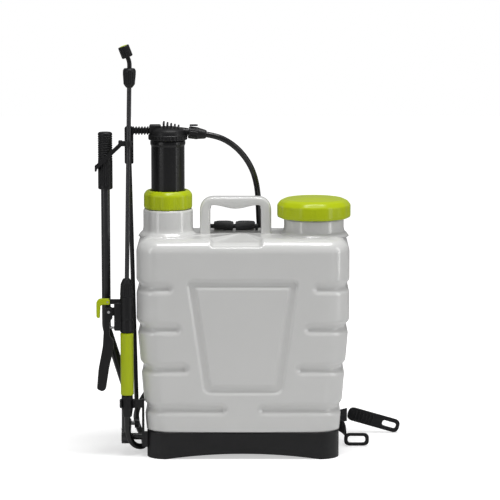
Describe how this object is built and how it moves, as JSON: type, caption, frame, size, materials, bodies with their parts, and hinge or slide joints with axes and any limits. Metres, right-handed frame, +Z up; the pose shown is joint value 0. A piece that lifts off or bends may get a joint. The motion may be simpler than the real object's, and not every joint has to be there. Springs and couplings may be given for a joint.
{
  "type": "backpack sprayer",
  "caption": "Backpack sprayer: white ribbed tank on a black base, side pump lever, pressure chamber, hose, trigger gun with lance, lime caps and grips, shoulder straps.",
  "frame": {"origin": "middle of the base's footprint, on the floor", "axes": "+Z up; +Y from the tank's front panel to the wearer's back; +X from the lever side to the filler cap side"},
  "size_m": [0.5547, 0.2275, 0.7405],
  "materials": {
    "tank_plastic": "semi-gloss, slightly translucent",
    "lime_plastic": "gloss",
    "black_plastic": "satin",
    "painted_tube": "satin",
    "steel": "satin",
    "bearing_plastic": "matte",
    "seal_rubber": "matte",
    "hose_rubber": "gloss",
    "webbing": "woven",
    "chrome_ball": "polished"
  },
  "bodies": {
    "root": {"tank": "tank_plastic", "base": "black_plastic", "base_screws": "steel", "strainer_basket": "black_plastic", "strap_bar": "black_plastic", "pad_left": "webbing", "pad_right": "webbing", "buckle_left": "black_plastic", "buckle_right": "black_plastic", "webbing_left": "webbing", "webbing_right": "webbing", "hook_left": "black_plastic", "hook_right": "black_plastic", "gun_holder": "black_plastic", "shaft_bushes": "bearing_plastic", "hose_clip": "black_plastic", "pump_cylinder": "bearing_plastic", "intake_valve": "black_plastic", "intake_ball": "chrome_ball", "intake_strainer": "black_plastic", "gland_seal": "seal_rubber", "hose_upper": "hose_rubber", "hose_lower": "hose_rubber"},
    "lever": {"lever_tube": "painted_tube", "lever_grip": "black_plastic", "drive_shaft": "painted_tube", "lever_crank": "painted_tube", "crank_pin": "steel"},
    "pump": {"pressure_chamber": "black_plastic", "chamber_lid": "black_plastic", "lid_arm": "black_plastic", "pull_rod": "painted_tube", "hose_nut": "black_plastic", "hose_spigot": "black_plastic", "hose_nut_wing": "black_plastic", "piston": "black_plastic", "piston_seal": "seal_rubber", "outlet_ball": "chrome_ball"},
    "ring_nut": {"ring_nut": "lime_plastic"},
    "cap_seal": {"cap_gasket": "seal_rubber"},
    "cap": {"filler_cap": "lime_plastic", "vent_valve": "black_plastic"},
    "gun": {"gun_body": "black_plastic", "gun_grip": "lime_plastic", "tail_nut": "black_plastic", "gun_filter": "bearing_plastic", "lance_nut": "black_plastic", "gun_pins": "steel", "lance_tube": "painted_tube", "lance_top_nut": "black_plastic", "nozzle_neck": "black_plastic", "swirl_core": "bearing_plastic", "lance_clip": "black_plastic"},
    "trigger": {"trigger": "black_plastic"},
    "lock": {"trigger_lock": "lime_plastic"},
    "valve": {"valve_stem": "steel"},
    "nozzle": {"nozzle_cap": "black_plastic", "nozzle_tip": "lime_plastic"}
  },
  "joints": [
    {"name": "lever_swing", "type": "hinge", "parent": "root", "child": "lever", "pos_m": [-0.211, -0.03359, 0.03], "axis": [-1, 0, 0], "range_deg": [0, 60]},
    {"name": "pump_slide", "type": "slide", "parent": "root", "child": "pump", "axis": [0, 0, -1], "range_m": [0, 0.036], "deforming": ["hose_upper"]},
    {"name": "nut_turn", "type": "hinge", "parent": "root", "child": "ring_nut", "pos_m": [-0.1345, 0, 0.437], "axis": [0, 0, 1], "continuous": true},
    {"name": "cap_lift", "type": "slide", "parent": "root", "child": "cap_seal", "axis": [0, 0, 1], "range_m": [0, 0.08]},
    {"name": "cap_turn", "type": "hinge", "parent": "cap_seal", "child": "cap", "pos_m": [0.1273, 0, 0.43], "axis": [0, 0, 1], "continuous": true},
    {"name": "gun_unclip", "type": "slide", "parent": "root", "child": "gun", "axis": [0, -1, 0], "range_m": [0, 0.04]},
    {"name": "trigger_pull", "type": "hinge", "parent": "gun", "child": "trigger", "pos_m": [-0.239, -0.066, 0.264], "axis": [0, -1, 0], "range_deg": [0, 10], "stiffness_Nm_per_rad": 1.5, "springref_deg": -11.46},
    {"name": "valve_push", "type": "slide", "parent": "gun", "child": "valve", "axis": [1, 0, 0], "range_m": [0, 0.0055]},
    {"name": "lock_flip", "type": "hinge", "parent": "gun", "child": "lock", "pos_m": [-0.241, -0.066, 0.282], "axis": [0, 1, 0], "range_deg": [0, 25]},
    {"name": "nozzle_twist", "type": "hinge", "parent": "gun", "child": "nozzle", "pos_m": [-0.20257, -0.066, 0.71733], "axis": [-0.3584, 0, 0.9336], "range_deg": [0, 270]}
  ],
  "couplings": [
    {"joint": "pump_slide", "follows": "lever_swing", "m_per_rad": 0.03437},
    {"joint": "valve_push", "follows": "trigger_pull", "m_per_rad": 0.0305}
  ]
}
